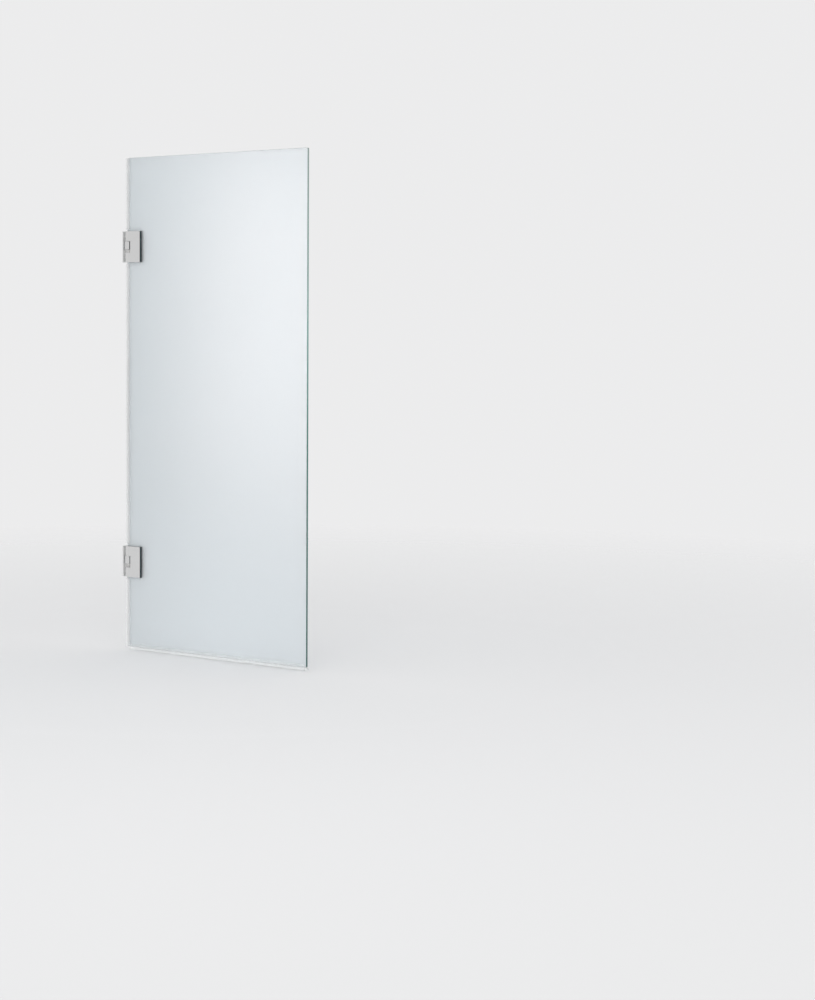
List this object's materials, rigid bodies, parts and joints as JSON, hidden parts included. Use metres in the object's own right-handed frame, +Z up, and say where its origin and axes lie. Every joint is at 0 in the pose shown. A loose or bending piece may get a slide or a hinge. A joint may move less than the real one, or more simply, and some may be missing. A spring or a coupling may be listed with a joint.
{
  "type": "bath screen",
  "caption": "Frameless frosted glass bath screen that swings and lifts on square chrome rise-and-fall wall hinges, with clear wall and bath-rim seals.",
  "frame": {"origin": "centre of the lower hinge's wall plate, on the wall plane", "axes": "+X out from the wall along the closed screen, +Y towards the bath, +Z up"},
  "size_m": [0.7125, 0.028, 1.509],
  "materials": {
    "frosted_glass": "toughened, satin etched on both faces, polished green edges",
    "polished_chrome": "polished chrome plate on brass",
    "clear_seal": "clear flexible PVC",
    "gasket": "dark grey sheet",
    "stainless_steel": "turned stainless steel",
    "acetal": "natural acetal"
  },
  "bodies": {
    "wall_side": {"fixed_cams": "acetal", "knuckle_bushes": "acetal", "knuckle_screws": "stainless_steel", "lower_wall_plate": "polished_chrome", "upper_wall_plate": "polished_chrome", "wall_knuckles": "polished_chrome"},
    "hinge_pins": {"hinge_pins": "stainless_steel", "retaining_rings": "stainless_steel"},
    "screen": {"bottom_pin_guides": "acetal", "bottom_seal": "clear_seal", "clamp_screws": "stainless_steel", "follower_cams": "acetal", "glass_panel": "frosted_glass", "lower_inner_clamp": "polished_chrome", "lower_inner_gasket": "gasket", "lower_outer_clamp": "polished_chrome", "lower_outer_gasket": "gasket", "top_pin_guides": "acetal", "upper_inner_clamp": "polished_chrome", "upper_inner_gasket": "gasket", "upper_outer_clamp": "polished_chrome", "upper_outer_gasket": "gasket", "wall_seal_bottom": "clear_seal", "wall_seal_foot": "clear_seal", "wall_seal_middle": "clear_seal", "wall_seal_top": "clear_seal"}
  },
  "joints": [
    {"name": "screen_swing", "type": "hinge", "parent": "wall_side", "child": "hinge_pins", "pos_m": [0.0205, 0, 0], "axis": [0, 0, -1], "range_deg": [0, 90]},
    {"name": "screen_rise", "type": "slide", "parent": "hinge_pins", "child": "screen", "axis": [0, 0, 1], "range_m": [0, 0.008]}
  ],
  "couplings": [
    {"joint": "screen_rise", "follows": "screen_swing", "m_per_rad": 0.0050929}
  ]
}
